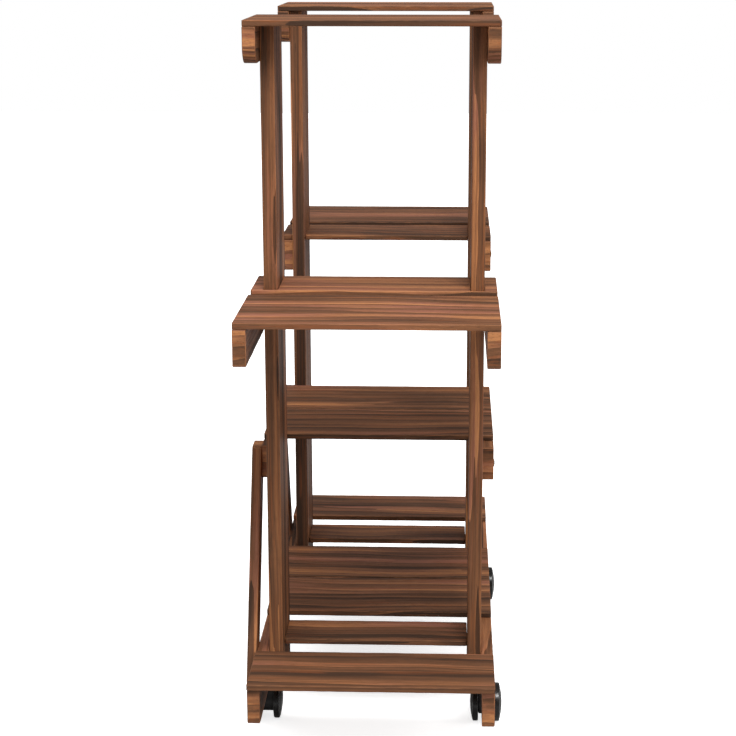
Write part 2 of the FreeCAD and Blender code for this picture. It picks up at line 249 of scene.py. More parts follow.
@dataclass
class Bar:
    """A wooden bar: a flat outline with a thickness, eased edges, and the grain along its length."""

    lay: Lay
    outline: np.ndarray
    low: float
    high: float
    ease: float
    lean: float = 0.0
    depth_stretch: float = 1.0
    end_tone: float = 0.0
    # Darkening of the side walls: painted shade.
    side_shade: float = 0.0
    guard: float = 0.35 * MM
    facets: int = 4
    uneven: float = 0.35
    end_saving: float = 0.4
    end_depth: float = 0.15

    def ring_table(self) -> tuple[np.ndarray, np.ndarray, np.ndarray, np.ndarray, np.ndarray]:
        """Rings from the low face to the high one.

        On the low edge, at an angle t from 0 to 90 degrees, a ring is r (1 - sin t) inside the outline
        and r (1 - cos t) above the low face, where r is the edge's radius. The high edge mirrors it.

        Returns:
            For each ring: its inset as a share of r, its further inset, its height over the low face as
            a share of r or under the high one, its further height, and how much it faces sideways.
        """
        t = np.radians(np.linspace(0, 90, self.facets + 1))
        share = np.concatenate([[1.0], 1 - np.sin(t), [0.0]])
        further = np.concatenate([[self.guard], np.zeros(self.facets + 2)])
        rise = np.concatenate([[0.0], 1 - np.cos(t), [1.0]])
        more = np.concatenate([np.zeros(self.facets + 2), [self.guard]])
        sideways = np.concatenate([[0.0], np.sin(t), [1.0]])
        return share, further, rise, more, sideways

    def inward(self) -> np.ndarray:
        """Inward mitre of each outline point: -(n1 + n2) / (1 + n1 . n2), n1 and n2 its edges' normals."""
        edge = np.roll(self.outline, -1, 0) - self.outline
        normal = np.stack([edge[:, 1], -edge[:, 0]], 1) / np.hypot(edge[:, 0], edge[:, 1])[:, None]
        before = np.roll(normal, 1, 0)
        return -(normal + before) / (1 + (normal * before).sum(1))[:, None]

    def solid(self, rng: np.random.Generator, tone: float) -> Solid:
        """Builds the bar, with its grain coordinates, tone and lighter edges at every point; the tone holds
        painted shade on the side walls, and the lighter edges are partly wear, partly a painted highlight.

        The grain value holds the place across, into and along the wood. On the sawn ends the depth
        counts for little, so that the streaks run across an end as they do along the faces.

        Args:
            rng: source of the unevenness and of the wood's place in the grain.
            tone: how much lighter or darker than the others this bar is; for the timber bars it holds painted
                light and shade too.

        Returns:
            The closed solid.
        """
        twice_area = np.sum(self.outline[:, 0] * np.roll(self.outline[:, 1], -1)
                            - self.outline[:, 1] * np.roll(self.outline[:, 0], -1))
        if twice_area < 0:
            self.outline = self.outline[::-1]
        inward = self.inward()
        steps = np.hypot(*(np.roll(self.outline, -1, 0) - self.outline).T)
        along = np.concatenate([[0.0], np.cumsum(steps)[:-1]])
        turned = np.array([[math.cos(self.lean), -math.sin(self.lean)],
                           [math.sin(self.lean), math.cos(self.lean)]])
        endness = np.abs((inward / np.hypot(*inward.T)[:, None]) @ turned[:, 0]) ** 4
        share, further, rise, more, sideways = self.ring_table()
        halves = []
        for is_high in (False, True):
            waver = 1 + self.uneven * wavering(along, steps.sum(), rng)
            radius = self.ease * waver * (1 - self.end_saving * endness)
            inset = share[:, None] * radius + further[:, None]
            height = rise[:, None] * radius + more[:, None]
            flat = self.outline[None] + inset[..., None] * inward[None]
            level = self.high - height if is_high else self.low + height
            ring = np.concatenate([flat, level[..., None]], -1)
            halves.append(ring[::-1] if is_high else ring)
        place = np.concatenate(halves)
        sideways = np.concatenate([sideways, sideways[::-1]])
        # Lighter mark on the eased edges, strongest halfway round them: partly wear, partly a painted
        # highlight.
        edge_sheen_and_wear = 1 - np.abs(2 * sideways - 1) ** 3
        edge_sheen_and_wear[[0, -1]] = 0.0
        rings, around = place.shape[:2]
        place = place.reshape(-1, 3)
        end_wall = (sideways[:, None] * endness[None]).ravel()
        side_wall = (sideways[:, None] * (1 - endness[None])).ravel()
        depth_share = self.depth_stretch * (1 - end_wall) + self.end_depth * end_wall
        grain_flat = place[:, :2] @ turned
        offset = rng.uniform(-3, 3, 3)
        grain = np.stack([grain_flat[:, 1], place[:, 2] * depth_share, grain_flat[:, 0]], 1) + offset
        points = np.zeros_like(place)
        points[:, list(self.lay.value)] = place
        faces = grid_faces(rings, around)
        faces.append(list(range(around))[::-1])
        faces.append(list(range((rings - 1) * around, rings * around)))
        if self.is_mirrored():
            faces = [face[::-1] for face in faces]
        values = {
            "grain": grain,
            # Side walls darker by a set amount: painted shade.
            "tone": tone + self.end_tone * end_wall + self.side_shade * side_wall,
            "edge_sheen_and_wear": np.repeat(edge_sheen_and_wear, around),
        }
        return Solid(points, faces, values)

    def is_mirrored(self) -> bool:
        """Whether the length, width and thickness axes make a left-handed set."""
        axes = np.zeros((3, 3))
        axes[range(3), list(self.lay.value)] = 1
        return bool(np.linalg.det(axes) < 0)


def turned_solid(radii: np.ndarray, heights: np.ndarray, seat: Vector, axis: Vector, around: int,
                 turn: float = 0.0) -> Solid:
    """Surface turned about an axis: seat + r (cos a, sin a) across the axis + h along it.

    Args:
        radii: radius of each ring (n); the first and the last are 0 and become single points.
        heights: height of each ring (n), or of each point of each ring (n, around).
        seat: the point on the axis where the height is 0.
        axis: unit direction of the axis.
        around: points of a ring.
        turn: angle of the first point, in radians.

    Returns:
        The closed solid.
    """
    first = axis.orthogonal().normalized()
    second = axis.cross(first)
    angle = turn + np.linspace(0, 2 * math.pi, around, endpoint=False)
    spokes = np.outer(np.cos(angle), first) + np.outer(np.sin(angle), second)
    height = np.broadcast_to(heights if heights.ndim == 2 else heights[:, None], (len(radii), around))
    rings = (np.array(seat) + radii[1:-1, None, None] * spokes[None]
             + height[1:-1, :, None] * np.array(axis)).reshape(-1, 3)
    poles = np.array(seat) + np.outer([height[0, 0], height[-1, 0]], axis)
    count = len(radii) - 2
    faces = grid_faces(count, around)
    low, high = len(rings), len(rings) + 1
    ring = np.arange(around)
    after = (ring + 1) % around
    last = (count - 1) * around
    faces += np.stack([np.full(around, low), after, ring], 1).tolist()
    faces += np.stack([np.full(around, high), last + ring, last + after], 1).tolist()
    return Solid(np.concatenate([rings, poles]), faces)


# ---- shader tools --------------------------------------------------------------------------------
def linear(red: float, green: float, blue: float) -> tuple[float, float, float, float]:
    """Scene-linear colour of a screen colour given in 0 to 255: ((c + 0.055) / 1.055) ^ 2.4."""
    share = np.array([red, green, blue]) / 255
    value = np.where(share <= 0.04045, share / 12.92, ((share + 0.055) / 1.055) ** 2.4)
    return float(value[0]), float(value[1]), float(value[2]), 1.0


@dataclass(frozen=True)
class Pattern:
    """A noise with about so many features to the metre on each axis, moved aside by a shift."""

    first: float
    second: float
    third: float
    detail: float = 2.0
    rough: float = 0.5
    shift: float = 0.0


@dataclass(frozen=True)
class GrainRecipe:
    """The stained grain's noises, how far its streaks waver, and how much each effect counts.

    The three axes of a noise are across, into and along the wood. A span is a pair of values between
    which an effect sets in or fades, and a level is the value at which it changes nothing.
    """

    slow_waver: Pattern = Pattern(7, 7, 4.5, 1.0)
    quick_waver: Pattern = Pattern(40, 40, 16, 1.0, shift=7.0)
    bands: Pattern = Pattern(48, 48, 1.4, 1.5, 0.45)
    streaks: Pattern = Pattern(210, 210, 3.2, shift=3.0)
    fibres: Pattern = Pattern(1300, 1300, 18, 2.0, 0.6, 11.0)
    pores: Pattern = Pattern(2400, 2400, 60, 0.0, shift=19.0)
    embers: Pattern = Pattern(330, 330, 4.5, 1.0, shift=29.0)
    # Patches of the lighter edge mark, which is partly wear and partly a painted highlight.
    sheen_and_wear_patches: Pattern = Pattern(160, 160, 60, shift=41.0)
    blush: Pattern = Pattern(16, 16, 5, 1.0, shift=53.0)
    slow_sway: float = 0.030
    quick_sway: float = 0.0035
    sway_into: float = 0.6
    rings_across: float = 58.0
    rings_into: float = 20.0
    rings_by_band: float = 3.2
    late_span: tuple[float, float] = (0.45, 0.97)
    late_level: float = 0.3
    early_span: tuple[float, float] = (0.03, 0.26)
    early_level: float = 0.12
    band_weight: float = 1.9
    streak_weight: float = 1.0
    late_weight: float = -0.26
    early_weight: float = 0.2
    fibre_weight: float = 0.16
    middle_at: float = 0.45
    light_at: float = 0.8
    glow_at: float = 1.05
    pore_span: tuple[float, float] = (0.62, 0.70)
    pore_share: float = 0.35
    ember_span: tuple[float, float] = (0.56, 0.68)
    ember_share: float = 0.35
    blush_span: tuple[float, float] = (0.42, 0.62)
    sheen_and_wear_patch_span: tuple[float, float] = (0.38, 0.72)
    sheen_and_wear_share: float = 0.4
    fibre_rough: float = 0.25
    dark_rough: float = 0.10
    pore_rough: float = 0.15
    fibre_height: float = 0.55
    streak_height: float = 0.45
    pore_depth: float = 0.6


@dataclass(frozen=True)
class HandlingRecipe:
    """The use marks' noises on X, Y and Z, and how much each mark counts."""

    smears: Pattern = Pattern(70, 70, 70, 3.0, 0.6)
    texture: Pattern = Pattern(2600, 2600, 2600, 1.0, shift=5.0)
    long_lines: Pattern = Pattern(900, 180, 260, shift=13.0)
    scratch_wide: float = 0.012
    scratch_share: float = 0.12
    scratch_rough: float = 0.15
    scratch_depth: float = 0.7
    dust_span: tuple[float, float] = (0.42, 0.75)
    smear_level: float = 0.45
    smear_rough: float = 0.35


class Graph:
    """A shader node tree with short calls for its nodes and links."""

    def __init__(self, tree: bpy.types.NodeTree) -> None:
        """Keeps the tree that the calls add to."""
        self.tree = tree

    def node(self, kind: str, inputs: dict[Any, Any] | None = None, **settings: Any) -> bpy.types.Node:
        """Adds a node.

        Args:
            kind: the node's type after "ShaderNode", or a whole type name.
            inputs: values or sockets for its inputs, by name or number.
            settings: its other properties.

        Returns:
            The node.
        """
        whole = kind if kind.startswith("NodeGroup") else "ShaderNode" + kind
        made = self.tree.nodes.new(whole)
        for key, value in settings.items():
            setattr(made, key, value)
        for key, value in (inputs or {}).items():
            self.feed(made.inputs[key], value)
        return made

    def feed(self, socket: bpy.types.NodeSocket, value: Any) -> None:
        """Links another socket to this one, or sets its value."""
        if isinstance(value, bpy.types.NodeSocket):
            self.tree.links.new(value, socket)
        else:
            socket.default_value = value

    def math(self, operation: str, *values: Any, clamp: bool = False) -> bpy.types.NodeSocket:
        """Result of a Math node on one to three values."""
        inputs = dict(enumerate(values))
        return self.node("Math", inputs, operation=operation, use_clamp=clamp).outputs[0]

    def span(self, value: Any, low: float, high: float, first: float = 0.0, last: float = 1.0,
             smooth: bool = False) -> bpy.types.NodeSocket:
        """Value taken from the span low to high onto the span first to last, and held there."""
        inputs = {0: value, 1: low, 2: high, 3: first, 4: last}
        kind = "SMOOTHSTEP" if smooth else "LINEAR"
        return self.node("MapRange", inputs, interpolation_type=kind).outputs[0]

    def times(self, first: Any, second: Any) -> bpy.types.NodeSocket:
        """Product of two values."""
        return self.math("MULTIPLY", first, second)

    def plus(self, first: Any, second: Any, clamp: bool = False) -> bpy.types.NodeSocket:
        """Sum of two values, held between 0 and 1 where it is to be clamped."""
        return self.math("ADD", first, second, clamp=clamp)

    def off(self, value: Any, level: float, weight: float) -> bpy.types.NodeSocket:
        """How far a value is from the level at which it changes nothing, times a weight."""
        return self.times(self.math("SUBTRACT", value, level), weight)

    def mix(self, share: Any, first: Any, second: Any) -> bpy.types.NodeSocket:
        """Colour between two colours."""
        inputs = {0: share, 6: first, 7: second}
        return self.node("Mix", inputs, data_type="RGBA", blend_type="MIX").outputs[2]

    def noise(self, place: Any, pattern: Pattern) -> bpy.types.NodeSocket:
        """Noise from 0 to 1 whose features follow a pattern, at a place in metres."""
        stretch = (pattern.first, pattern.second, pattern.third)
        scaled = self.node("VectorMath", {0: place, 1: stretch, 2: (pattern.shift,) * 3},
                           operation="MULTIPLY_ADD").outputs[0]
        inputs = {"Vector": scaled, "Scale": 1.0, "Detail": pattern.detail, "Roughness": pattern.rough}
        return self.node("TexNoise", inputs).outputs[0]


def new_group(name: str, inputs: dict[str, tuple[str, Any]], outputs: dict[str, str]) -> tuple[
        bpy.types.NodeTree, Graph, dict[str, bpy.types.NodeSocket], bpy.types.Node]:
    """Starts a shader node group.

    Args:
        name: the effect's name.
        inputs: for each input its socket kind (Float, Color or Vector) and default.
        outputs: for each output its socket kind.

    Returns:
        The group, its graph, its inputs by name and its output node.
    """
    group = bpy.data.node_groups.new(name, "ShaderNodeTree")
    for key, (kind, default) in inputs.items():
        socket = group.interface.new_socket(key, in_out="INPUT", socket_type="NodeSocket" + kind)
        if default is not None:
            socket.default_value = default
    for key, kind in outputs.items():
        group.interface.new_socket(key, in_out="OUTPUT", socket_type="NodeSocket" + kind)
    graph = Graph(group)
    source = graph.node("NodeGroupInput")
    sink = graph.node("NodeGroupOutput")
    return group, graph, {key: source.outputs[key] for key in inputs}, sink


def stained_grain_group() -> bpy.types.NodeTree:
    """Streaked grain of stained softwood, shared by all the wooden pieces.

    The place in the wood is first pushed aside by a slow and a quicker noise, so that the streaks waver.
    Broad bands, streaks and fibres are noises far longer along the grain than across it, and the growth
    rings are counted across it. Their weighted sum picks a colour from the dark, middle, light and glow
    colours. A growth ring is light where it starts, and darkens slowly towards its sharp outer edge.
    """
    inputs = {
        "Grain": ("Vector", None),
        "Tone": ("Float", 0.0),
        "Sheen_and_wear": ("Float", 0.0),
        "Contrast": ("Float", 1.0),
        "Dark": ("Color", linear(70, 49, 36)),
        "Middle": ("Color", linear(116, 77, 52)),
        "Light": ("Color", linear(156, 103, 66)),
        "Glow": ("Color", linear(186, 125, 80)),
        "Ember": ("Color", linear(150, 84, 46)),
        "Rose": ("Color", linear(152, 97, 76)),
        "Polish": ("Float", 0.45),
    }
    group, g, given, sink = new_group("stained_grain", inputs, {"Color": "Color", "Roughness": "Float",
                                                                "Height": "Float"})
    place = given["Grain"]
    recipe = GrainRecipe()
    slow = g.off(g.noise(place, recipe.slow_waver), 0.5, recipe.slow_sway)
    quick = g.off(g.noise(place, recipe.quick_waver), 0.5, recipe.quick_sway)
    aside = g.plus(slow, quick)
    push = g.node("CombineXYZ", {0: aside, 1: g.times(slow, recipe.sway_into), 2: 0.0}).outputs[0]
    wood = g.node("VectorMath", {0: place, 1: push}, operation="ADD").outputs[0]
    axes = g.node("SeparateXYZ", {0: wood})
    bands = g.noise(wood, recipe.bands)
    streaks = g.noise(wood, recipe.streaks)
    fibres = g.noise(wood, recipe.fibres)
    pores = g.span(g.noise(wood, recipe.pores), *recipe.pore_span, smooth=True)
    embers = g.span(g.noise(wood, recipe.embers), *recipe.ember_span, smooth=True)
    count = g.plus(g.times(axes.outputs[0], recipe.rings_across), g.times(bands, recipe.rings_by_band))
    count = g.plus(count, g.times(axes.outputs[1], recipe.rings_into))
    ring = g.math("FRACT", count)
    late = g.span(ring, *recipe.late_span, smooth=True)
    early = g.span(ring, *recipe.early_span, 1.0, 0.0, smooth=True)
    value = g.off(bands, 0.5, recipe.band_weight)
    value = g.plus(value, g.off(streaks, 0.5, recipe.streak_weight))
    value = g.plus(value, g.off(late, recipe.late_level, recipe.late_weight))
    value = g.plus(value, g.off(early, recipe.early_level, recipe.early_weight))
    value = g.times(value, given["Contrast"])
    value = g.plus(value, g.off(fibres, 0.5, recipe.fibre_weight))
    value = g.plus(g.plus(value, 0.5), given["Tone"])
    colour = g.mix(g.span(value, 0.0, recipe.middle_at), given["Dark"], given["Middle"])
    blush = g.span(g.noise(place, recipe.blush), *recipe.blush_span, smooth=True)
    light = g.mix(blush, given["Light"], given["Rose"])
    colour = g.mix(g.span(value, recipe.middle_at, recipe.light_at), colour, light)
    colour = g.mix(g.span(value, recipe.light_at, recipe.glow_at), colour, given["Glow"])
    colour = g.mix(g.times(embers, recipe.ember_share), colour, given["Ember"])
    colour = g.mix(g.times(pores, recipe.pore_share), colour, given["Dark"])
    # Eased edges lighter in patches: partly wear, partly a painted highlight.
    sheen_and_wear_patches = g.span(g.noise(place, recipe.sheen_and_wear_patches), *recipe.sheen_and_wear_patch_span)
    sheen_and_wear_mix = g.times(g.times(given["Sheen_and_wear"], sheen_and_wear_patches), recipe.sheen_and_wear_share)
    colour = g.mix(sheen_and_wear_mix, colour, given["Glow"])
    rough = g.plus(given["Polish"], g.off(fibres, 0.5, recipe.fibre_rough))
    rough = g.plus(rough, g.times(g.math("SUBTRACT", 0.5, value), recipe.dark_rough))
    rough = g.plus(rough, g.times(pores, recipe.pore_rough), clamp=True)
    height = g.plus(g.times(fibres, recipe.fibre_height), g.times(streaks, recipe.streak_height))
    height = g.math("SUBTRACT", height, g.times(pores, recipe.pore_depth))
    g.feed(sink.inputs["Color"], colour)
    g.feed(sink.inputs["Roughness"], rough)
    g.feed(sink.inputs["Height"], height)
    return group


def handling_group() -> bpy.types.NodeTree:
    """Use marks on the plastic and metal parts: broad smears, fine scratches and moulding texture.

    The smears are a slow noise, the scratches are thin lines where a stretched noise crosses its middle
    value, and the texture is a fine noise, all on the place in the stand.
    """
    inputs = {
        "Place": ("Vector", None),
        "Color": ("Color", linear(30, 30, 31)),
        "Dust": ("Color", linear(92, 86, 80)),
        "Polish": ("Float", 0.3),
        "Dusting": ("Float", 0.1),
    }
    group, g, given, sink = new_group("handling_marks", inputs, {"Color": "Color", "Roughness": "Float",
                                                                 "Height": "Float"})
    place = given["Place"]
    recipe = HandlingRecipe()
    smears = g.noise(place, recipe.smears)
    texture = g.noise(place, recipe.texture)
    long_lines = g.noise(place, recipe.long_lines)
    line = g.math("ABSOLUTE", g.math("SUBTRACT", long_lines, 0.5))
    scratches = g.span(line, 0.0, recipe.scratch_wide, 1.0, 0.0, smooth=True)
    dusty = g.times(g.span(smears, *recipe.dust_span, smooth=True), given["Dusting"])
    colour = g.mix(dusty, given["Color"], given["Dust"])
    colour = g.mix(g.times(scratches, recipe.scratch_share), colour, given["Dust"])
    rough = g.plus(given["Polish"], g.off(smears, recipe.smear_level, recipe.smear_rough))
    rough = g.plus(rough, g.times(scratches, recipe.scratch_rough), clamp=True)
    height = g.math("SUBTRACT", texture, g.times(scratches, recipe.scratch_depth))
    g.feed(sink.inputs["Color"], colour)
    g.feed(sink.inputs["Roughness"], rough)
    g.feed(sink.inputs["Height"], height)
    return group


class Groups:
    """The shared node groups, each built the first time it is asked for."""

    made: dict[str, bpy.types.NodeTree] = {}

    @classmethod
    def grain(cls) -> bpy.types.NodeTree:
        """The wood's grain."""
        if "grain" not in cls.made:
            cls.made["grain"] = stained_grain_group()
        return cls.made["grain"]

    @classmethod
    def handling(cls) -> bpy.types.NodeTree:
        """The use marks of plastic and metal."""
        if "handling" not in cls.made:
            cls.made["handling"] = handling_group()
        return cls.made["handling"]


def new_material(name: str) -> tuple[bpy.types.Material, Graph, bpy.types.Node]:
    """Starts a material.

    Args:
        name: the finish's name.

    Returns:
        The material, its graph and its Principled shader.
    """
    material = bpy.data.materials.new(name)
    material.use_nodes = True
    material.node_tree.nodes.clear()
    graph = Graph(material.node_tree)
    shader = graph.node("BsdfPrincipled")
    graph.node("OutputMaterial", {"Surface": shader.outputs[0]})
    return material, graph, shader


@dataclass(frozen=True)
class StainedWood:
    """Brown-stained softwood with a satin surface."""

    name: str
    contrast: float = 1.0
    tone: float = 0.0
    depth_stretch: float = 1.0
    end_tone: float = 0.0
    # Darkening of the side walls: painted shade.
    side_shade: float = 0.0
    polish: float = 0.5
    groove: float = 0.0002
    relief: float = 0.55
    gleam: float = 0.16

    def material(self) -> bpy.types.Material:
        """Builds the finish from the grain group and the piece's own attributes."""
        material, g, shader = new_material(self.name)
        grain = g.node("Attribute", attribute_name="grain").outputs["Vector"]
        own_tone = g.node("Attribute", attribute_name="tone").outputs["Fac"]
        # Lighter eased edges: partly wear, partly a painted highlight.
        edge_sheen_and_wear = g.node("Attribute", attribute_name="edge_sheen_and_wear").outputs["Fac"]
        tone = g.plus(own_tone, self.tone)
        wood = g.node("Group", node_tree=Groups.grain())
        for key, value in (("Grain", grain), ("Tone", tone), ("Sheen_and_wear", edge_sheen_and_wear), ("Contrast", self.contrast),
                           ("Polish", self.polish)):
            g.feed(wood.inputs[key], value)
        bump = g.node("Bump", {"Strength": self.relief, "Distance": self.groove,
                               "Height": wood.outputs["Height"]})
        g.feed(shader.inputs["Base Color"], wood.outputs["Color"])
        g.feed(shader.inputs["Roughness"], wood.outputs["Roughness"])
        g.feed(shader.inputs["Normal"], bump.outputs[0])
        shader.inputs["Specular IOR Level"].default_value = self.gleam
        return material


@dataclass(frozen=True)
class Handled:
    """Moulded plastic or turned metal with use marks."""

    name: str
    colour: tuple[float, float, float]
    dust: tuple[float, float, float]
    polish: float
    dusting: float
    metallic: float = 0.0
    texture: float = 0.00003

    def material(self) -> bpy.types.Material:
        """Builds the finish from the handling group on object coordinates."""
        material, g, shader = new_material(self.name)
        place = g.node("TexCoord").outputs["Object"]
        marks = g.node("Group", node_tree=Groups.handling())
        for key, value in (("Place", place), ("Color", linear(*self.colour)), ("Dust", linear(*self.dust)),
                           ("Polish", self.polish), ("Dusting", self.dusting)):
            g.feed(marks.inputs[key], value)
        bump = g.node("Bump", {"Strength": 0.5, "Distance": self.texture, "Height": marks.outputs["Height"]})
        g.feed(shader.inputs["Base Color"], marks.outputs["Color"])
        g.feed(shader.inputs["Roughness"], marks.outputs["Roughness"])
        g.feed(shader.inputs["Normal"], bump.outputs[0])
        shader.inputs["Metallic"].default_value = self.metallic
        return material


# The board and post finishes darken their side walls: painted shade.
BOARD_WOOD = StainedWood("stained_board", 1.05, side_shade=-0.2)
RAIL_WOOD = StainedWood("stained_rail", 1.1, depth_stretch=1.5, end_tone=0.2)
BRACKET_WOOD = StainedWood("stained_bracket", 1.1, -0.02, depth_stretch=1.5, end_tone=-0.02)
POST_WOOD = StainedWood("stained_post", 1.15, -0.04, depth_stretch=2.2, side_shade=-0.02)
WHEEL_PLASTIC = Handled("gloss_black_wheel", (20, 18, 17), (84, 76, 70), 0.24, 0.06)
HOOD_PLASTIC = Handled("black_caster_body", (25, 23, 22), (80, 74, 68), 0.42, 0.08, texture=0.00006)
PLATED_STEEL = Handled("zinc_plated_steel", (176, 178, 180), (120, 116, 110), 0.32, 0.25, metallic=1.0)
BRONZED_SCREW = Handled("bronzed_screw", (92, 66, 48), (58, 44, 36), 0.38, 0.35, metallic=1.0)


class FinishRack:
    """Hands out each finish's material, made once."""

    def __init__(self) -> None:
        """Starts with no material made."""
        self.made: dict[str, bpy.types.Material] = {}

    def dress(self, piece: bpy.types.Object, finish: StainedWood | Handled) -> None:
        """Puts a finish on every material slot of a piece."""
        if finish.name not in self.made:
            self.made[finish.name] = finish.material()
        piece.data.materials.clear()
        piece.data.materials.append(self.made[finish.name])


# ---- the stand -----------------------------------------------------------------------------------
def node_box(node: str) -> tuple[np.ndarray, np.ndarray]:
    """Lowest and highest corner of a CAD node, in metres."""
    low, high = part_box(node)
    return np.array(low), np.array(high)


@dataclass
class Workshop:
    """What every sub-assembly needs: the finishes and the source of the wood's variety."""

    rack: FinishRack
    rng: np.random.Generator

    def place(self, solid: Solid, name: str, node: str | None, body: str, slot: str,
              finish: StainedWood | Handled) -> bpy.types.Object:
        """Makes a piece, dresses it and hangs it on its body.

        Args:
            solid: the shape.
            name: the piece's plain name.
            node: the CAD node that it stands for, if any.
            body: the CAD body that it moves with.
            slot: the record's material slot; not used.
            finish: what it is dressed in.

        Returns:
            The piece.
        """
        piece = solid.piece(name)
        self.rack.dress(piece, finish)
        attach(piece, body)
        if node is not None:
            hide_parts(node)
        LOG.info("%s: %d points, %d faces, on %s", name, len(solid.points), len(solid.faces), body)
        return piece


@dataclass
class Timberwork:
    """The wooden pieces: posts, rails, brackets, boards, braces and cleats."""

    shop: Workshop
    corner: float = 1.6 * MM
    rail_ease: float = 1.0 * MM
    board_ease: float = 0.8 * MM
    step: float = 8 * MM
    guard: float = 0.35 * MM
    bracket_round: float = 17 * MM
    brace_round: float = 5 * MM
    brace_wide: float = 26 * MM
    slot_clearance: float = 0.25 * MM
    slot_corner: float = 0.5 * MM
    cleat_long: float = 24 * MM
    cleat_wide: float = 10 * MM
    cleat_tone: float = -0.05
    # Per-piece tone: partly each piece's own tone, partly painted shade that darkens the far and inner pieces
    # under the shelves and painted light that lightens the near top boards.
    tone_and_shade: dict[str, float] = field(default_factory=lambda: {
        "top_board_left": 0.05,
        "upper_board_left": 0.07,
        "bottom_end_board_left": -0.24,
        "bottom_post_board_left": -0.06,
        "bottom_centre_board_left": -0.05,
        "bottom_centre_board_right": -0.05,
        "bottom_end_board_right": -0.08,
        "middle_board_left": -0.19,
        "middle_board_right": -0.19,
        "upper_board_right": -0.17,
        "upper_slotted_board_right": -0.08,
        "bottom_rail_back": -0.27,
        "post_left_back": 0.03,
        "post_left_front": -0.14,
    })

    def outline(self, corners: Sequence[Sequence[float]], radii: Sequence[float],
                facets: int = 4) -> np.ndarray:
        """Closed outline with rounded corners, cut into short runs."""
        return rounded_path(np.array(corners, float), radii, True, self.step, self.guard, facets)

    def square_outline(self, low: np.ndarray, high: np.ndarray, lay: Lay) -> np.ndarray:
        """Outline of a plain bar, seen along its thickness."""
        a, b, _ = lay.value
        corners = [(low[a], low[b]), (high[a], low[b]), (high[a], high[b]), (low[a], high[b])]
        return self.outline(corners, [self.corner] * 4)

    def bar(self, node: str, lay: Lay, finish: StainedWood, ease: float, tone_spread: float = 0.03,
            outline: np.ndarray | None = None, lean: float = 0.0) -> None:
        """Makes one wooden piece in its CAD node's place."""
        low, high = node_box(node)
        shape = self.square_outline(low, high, lay) if outline is None else outline
        thick = lay.value[2]
        bar = Bar(lay, shape, low[thick], high[thick], ease, lean, finish.depth_stretch, finish.end_tone,
                  finish.side_shade)
        # Each piece's tone: painted light and shade from the table, plus a random spread.
        tone = self.tone_and_shade.get(node, 0.0) + self.shop.rng.uniform(-tone_spread, tone_spread)
        self.shop.place(bar.solid(self.shop.rng, tone), node + "_timber", node, "stand", "stained_wood",
                        finish)

    def posts(self) -> None:
        """Four flat posts."""
        for side in SIDES:
            for face in FACES:
                self.bar(f"post_{side}_{face}", Lay.POST, POST_WOOD, self.rail_ease)

    def rails(self) -> None:
        """The rails of the three tiers."""
        for face in FACES:
            for side in SIDES:
                self.bar(f"upper_rail_{side}_{face}", Lay.RAIL, RAIL_WOOD, self.rail_ease)
            self.bar(f"middle_rail_{face}", Lay.RAIL, RAIL_WOOD, self.rail_ease)
            self.bar(f"bottom_rail_{face}", Lay.RAIL, RAIL_WOOD, self.rail_ease)

    def brackets(self) -> None:
        """Short rails under the top boards, with their two lower corners well rounded."""
        for side in SIDES:
            for face in FACES:
                node = f"top_bracket_{side}_{face}"
                low, high = node_box(node)
                corners = [(low[0], low[2]), (high[0], low[2]), (high[0], high[2]), (low[0], high[2])]
                radii = [self.bracket_round, self.bracket_round, self.corner, self.corner]
                self.bar(node, Lay.RAIL, BRACKET_WOOD, self.rail_ease,
                         outline=self.outline(corners, radii, 14))

    def boards(self) -> None:
        """The plain boards of all tiers."""
        for side in SIDES:
            for name in ("top_board", "upper_board", "middle_board", "bottom_end_board",
                         "bottom_post_board", "bottom_centre_board"):
                self.bar(f"{name}_{side}", Lay.BOARD, BOARD_WOOD, self.board_ease)

    def slotted_boards(self) -> None:
        """Inner boards of the upper shelves, each with two open slots that fit round the posts."""
        for side, direction in SIDES.items():
            node = f"upper_slotted_board_{side}"
            low, high = node_box(node)
            near, far = sorted((low[0], high[0]), key=abs)
            post_low, post_high = node_box(f"post_{side}_back")
            slot_end = max(post_low[0], post_high[0], key=abs) + direction * self.slot_clearance
            inner = post_low[1] - self.slot_clearance
            outer = post_high[1] + self.slot_clearance
            corners = [(low[1], near)]
            for left, right in ((-outer, -inner), (inner, outer)):
                corners += [(left, near), (left, slot_end), (right, slot_end), (right, near)]
            corners += [(high[1], near), (high[1], far), (low[1], far)]
            slot_radii = [self.corner, self.slot_corner, self.slot_corner, self.corner]
            radii = [self.corner] + slot_radii * 2 + [self.corner] * 3
            self.bar(node, Lay.BOARD, BOARD_WOOD, self.board_ease, outline=self.outline(corners, radii))

    def braces(self) -> None:
        """Slanted laths on the back, cut level at both ends.

        A lath w wide that leans by an angle whose cosine is c is w / c wide where it is cut level.
        """
        for side, direction in SIDES.items():
            node = f"brace_{side}"
            low, high = node_box(node)
            wide, tall = high[0] - low[0], high[2] - low[2]
            ratio = (tall / self.brace_wide) ** 2 - 1
            level = (math.sqrt(wide ** 2 + ratio * (wide ** 2 + tall ** 2)) - wide) / ratio
            top, foot = sorted((low[0], high[0]), key=abs)
            corners = [(foot, low[2]), (top + direction * level, high[2]), (top, high[2]),
                       (foot - direction * level, low[2])]
            lean = math.atan2(tall, top + direction * level - foot)
            self.bar(node, Lay.RAIL, RAIL_WOOD, self.rail_ease, lean=lean,
                     outline=self.outline(corners, [self.brace_round] * 4, 8))

